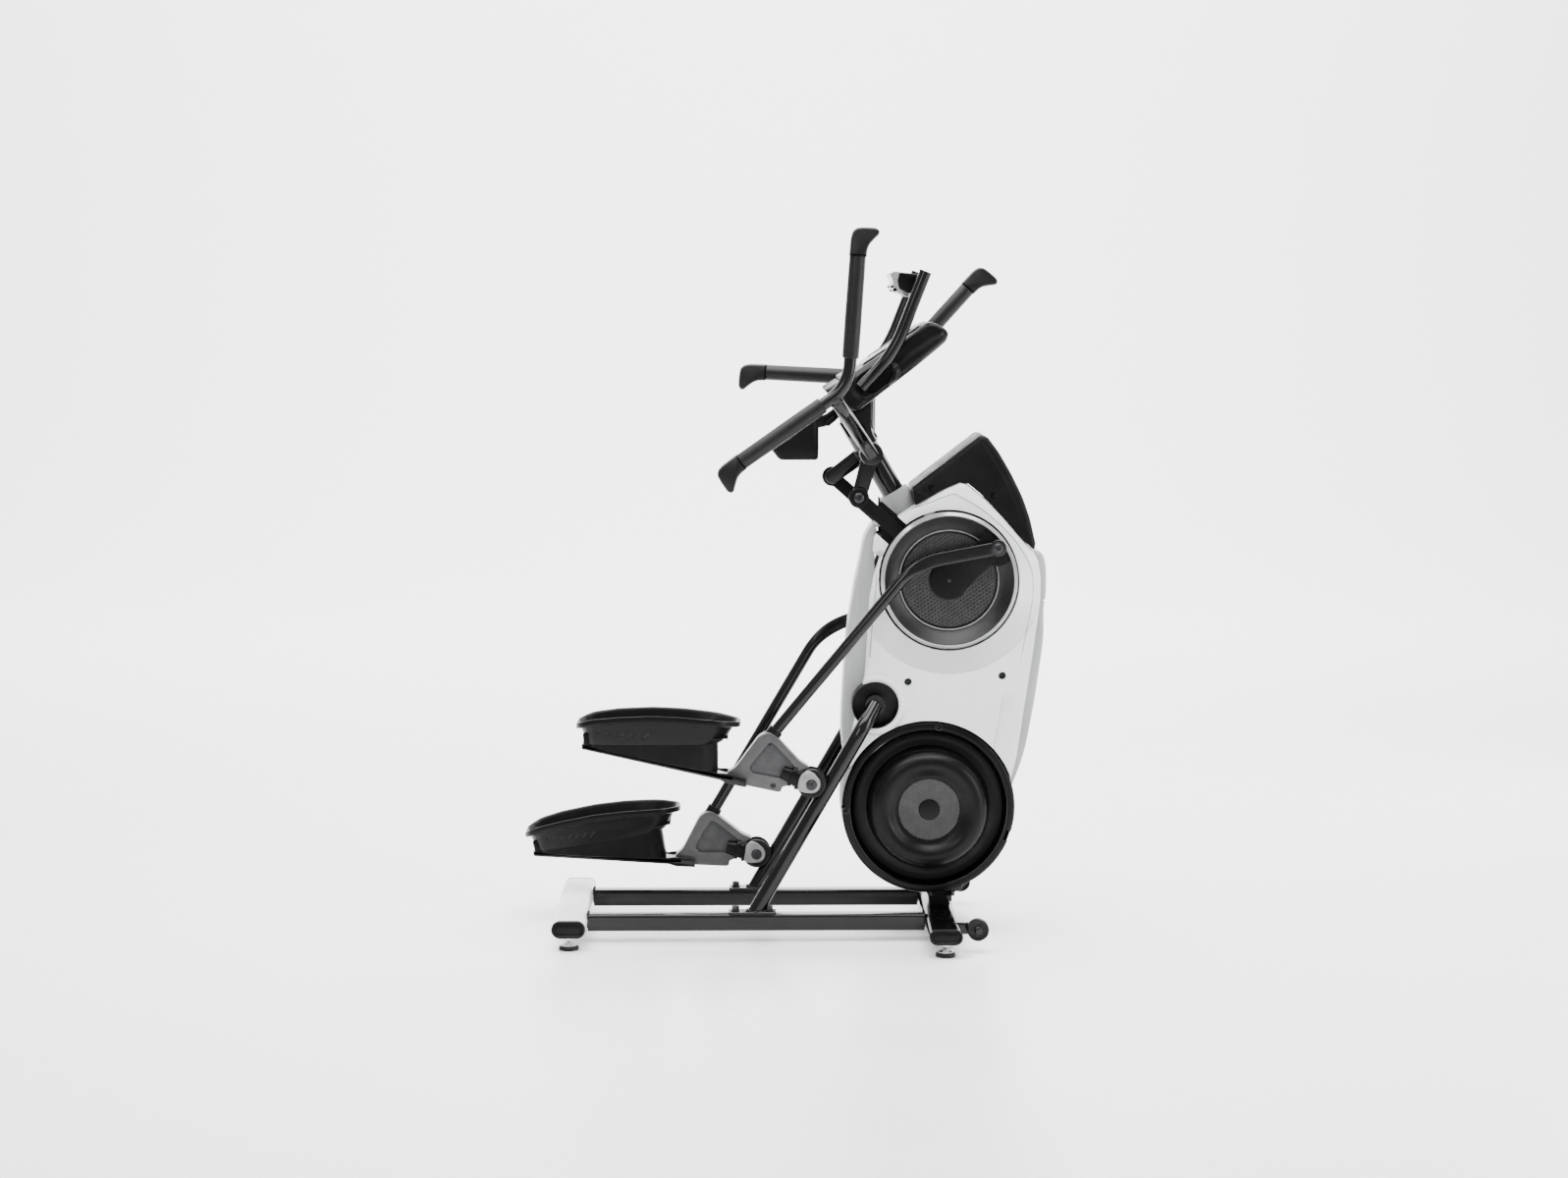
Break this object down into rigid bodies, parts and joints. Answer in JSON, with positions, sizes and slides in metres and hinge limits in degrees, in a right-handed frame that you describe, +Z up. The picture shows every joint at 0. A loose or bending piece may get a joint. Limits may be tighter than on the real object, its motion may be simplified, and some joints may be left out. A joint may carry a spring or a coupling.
{
  "type": "elliptical trainer",
  "caption": "Upright elliptical trainer: pedals on rollers climb inclined rails, driven by cranks coupled to swinging handlebars and a shrouded fan.",
  "frame": {"origin": "on the floor, under the middle of the bounding box", "axes": "+X to the machine's front (the shroud end), +Y to the user's left, +Z up"},
  "size_m": [1.2321, 0.7, 1.6533],
  "materials": {
    "silver_paint": "satin silver paint",
    "black_paint": "gloss black powder coat",
    "silver_plastic": "moulded, satin silver",
    "black_plastic": "moulded, fine texture",
    "charcoal_plastic": "moulded, fine texture",
    "cast_aluminium": "cast",
    "bare_steel": "ground",
    "rubber": "moulded",
    "foam": "closed-cell foam sleeve",
    "dark_lens": "polished tinted lens",
    "grey_keys": "moulded keys"
  },
  "bodies": {
    "frame": {"rear_stabiliser": "silver_paint", "front_stabiliser": "black_paint", "rear_end_cap_right": "black_plastic", "rear_end_cap_left": "black_plastic", "front_end_cap_right": "black_plastic", "front_end_cap_left": "black_plastic", "rear_levelling_foot_right": "rubber", "rear_levelling_foot_left": "rubber", "front_levelling_foot_right": "rubber", "front_levelling_foot_left": "rubber", "base_rail_right": "black_paint", "base_rail_left": "black_paint", "main_frame": "black_paint", "mast": "black_paint", "mast_collar": "silver_plastic", "inclined_rail_right": "black_paint", "inclined_rail_left": "black_paint", "side_shell_right": "silver_plastic", "side_shell_left": "silver_plastic", "rear_centre_cover": "silver_plastic", "front_centre_cover": "silver_plastic", "top_cover": "charcoal_plastic", "crank_bowl_right": "black_plastic", "crank_bowl_left": "black_plastic", "fan_cover_right": "black_plastic", "fan_cover_left": "black_plastic", "drive_belt": "rubber", "console_housing": "charcoal_plastic", "display_lens": "dark_lens", "bottle_holder": "charcoal_plastic", "fixed_handlebar": "black_paint", "pulse_grip": "black_plastic"},
    "crank": {"crankshaft": "bare_steel", "drive_pulley": "black_plastic", "crank_arm_right": "black_paint", "crank_arm_left": "black_paint", "crank_disc_right": "black_plastic", "crank_disc_left": "black_plastic"},
    "fan": {"fan_wheel": "cast_aluminium"},
    "carriage_right": {"roller_axle_right": "bare_steel"},
    "carriage_left": {"roller_axle_left": "bare_steel"},
    "stepper_right": {"leg_right": "black_paint", "pedal_right": "black_plastic"},
    "stepper_left": {"leg_left": "black_paint", "pedal_left": "black_plastic"},
    "wheel_right": {"roller_right": "black_plastic"},
    "wheel_left": {"roller_left": "black_plastic"},
    "arm_right": {"handlebar_right": "black_paint"},
    "arm_left": {"handlebar_left": "black_paint"},
    "link_right": {"handle_link_right": "black_paint"},
    "link_left": {"handle_link_left": "black_paint"},
    "caster_right": {"transport_wheel_right": "rubber"},
    "caster_left": {"transport_wheel_left": "rubber"},
    "start_key": {"start_button": "grey_keys"},
    "stop_key": {"stop_button": "grey_keys"},
    "level_up_key": {"level_up_button": "grey_keys"},
    "level_down_key": {"level_down_button": "grey_keys"}
  },
  "joints": [
    {"name": "crank_turn", "type": "hinge", "parent": "frame", "child": "crank", "pos_m": [0.3855, 0, 0.8375], "axis": [0, 1, 0], "range_deg": [0, 180]},
    {"name": "fan_spin", "type": "hinge", "parent": "frame", "child": "fan", "pos_m": [0.3405, 0, 0.3046], "axis": [0, 1, 0], "range_deg": [-2, 1185]},
    {"name": "carriage_right_slide", "type": "slide", "parent": "frame", "child": "carriage_right", "axis": [0.5, 0, 0.866], "range_m": [-0.252, 0.001]},
    {"name": "carriage_left_slide", "type": "slide", "parent": "frame", "child": "carriage_left", "axis": [0.5, 0, 0.866], "range_m": [-0.001, 0.252]},
    {"name": "leg_right_swing", "type": "hinge", "parent": "carriage_right", "child": "stepper_right", "pos_m": [0.06596, -0.144, 0.37197], "axis": [0, 1, 0], "range_deg": [-9.4, 0.1]},
    {"name": "leg_left_swing", "type": "hinge", "parent": "carriage_left", "child": "stepper_left", "pos_m": [-0.05944, 0.144, 0.15477], "axis": [0, 1, 0], "range_deg": [-0.1, 9.4]},
    {"name": "roller_right_spin", "type": "hinge", "parent": "carriage_right", "child": "wheel_right", "pos_m": [0.06596, -0.144, 0.37197], "axis": [0, 1, 0], "range_deg": [-642, 2]},
    {"name": "roller_left_spin", "type": "hinge", "parent": "carriage_left", "child": "wheel_left", "pos_m": [-0.05944, 0.144, 0.15477], "axis": [0, 1, 0], "range_deg": [-2, 642]},
    {"name": "handlebar_right_swing", "type": "hinge", "parent": "frame", "child": "arm_right", "pos_m": [0.2055, -0.08, 1.129], "axis": [0, 1, 0], "range_deg": [-0.5, 38.5]},
    {"name": "handlebar_left_swing", "type": "hinge", "parent": "frame", "child": "arm_left", "pos_m": [0.2055, 0.08, 1.129], "axis": [0, 1, 0], "range_deg": [-38.5, 0.5]},
    {"name": "link_right_swing", "type": "hinge", "parent": "arm_right", "child": "link_right", "pos_m": [0.17713, -0.0925, 1.02739], "axis": [0, 1, 0], "range_deg": [-38.5, 0.5]},
    {"name": "link_left_swing", "type": "hinge", "parent": "arm_left", "child": "link_left", "pos_m": [0.12058, 0.0925, 1.06639], "axis": [0, 1, 0], "range_deg": [-0.5, 38.5]},
    {"name": "transport_wheel_right_spin", "type": "hinge", "parent": "frame", "child": "caster_right", "pos_m": [0.4435, -0.283, 0.054], "axis": [0, 1, 0], "continuous": true},
    {"name": "transport_wheel_left_spin", "type": "hinge", "parent": "frame", "child": "caster_left", "pos_m": [0.4435, 0.283, 0.054], "axis": [0, 1, 0], "continuous": true},
    {"name": "start_press", "type": "slide", "parent": "frame", "child": "start_key", "axis": [0.5075, 0, -0.8616], "range_m": [0, 0.0018], "stiffness_N_per_m": 300},
    {"name": "stop_press", "type": "slide", "parent": "frame", "child": "stop_key", "axis": [0.5075, 0, -0.8616], "range_m": [0, 0.0018], "stiffness_N_per_m": 300},
    {"name": "level_up_press", "type": "slide", "parent": "frame", "child": "level_up_key", "axis": [0.5075, 0, -0.8616], "range_m": [0, 0.0018], "stiffness_N_per_m": 300},
    {"name": "level_down_press", "type": "slide", "parent": "frame", "child": "level_down_key", "axis": [0.5075, 0, -0.8616], "range_m": [0, 0.0018], "stiffness_N_per_m": 300}
  ],
  "couplings": [
    {"joint": "fan_spin", "follows": "crank_turn", "ratio": 6.5625},
    {"joint": "carriage_right_slide", "follows": "crank_turn", "m_per_rad": -0.079832},
    {"joint": "carriage_left_slide", "follows": "crank_turn", "m_per_rad": 0.079832},
    {"joint": "leg_right_swing", "follows": "crank_turn", "ratio": -0.051478},
    {"joint": "leg_left_swing", "follows": "crank_turn", "ratio": 0.051478},
    {"joint": "roller_right_spin", "follows": "crank_turn", "ratio": -3.548},
    {"joint": "roller_left_spin", "follows": "crank_turn", "ratio": 3.548},
    {"joint": "handlebar_right_swing", "follows": "crank_turn", "ratio": 0.21111},
    {"joint": "handlebar_left_swing", "follows": "crank_turn", "ratio": -0.21111},
    {"joint": "link_right_swing", "follows": "crank_turn", "ratio": -0.21111},
    {"joint": "link_left_swing", "follows": "crank_turn", "ratio": 0.21111}
  ]
}
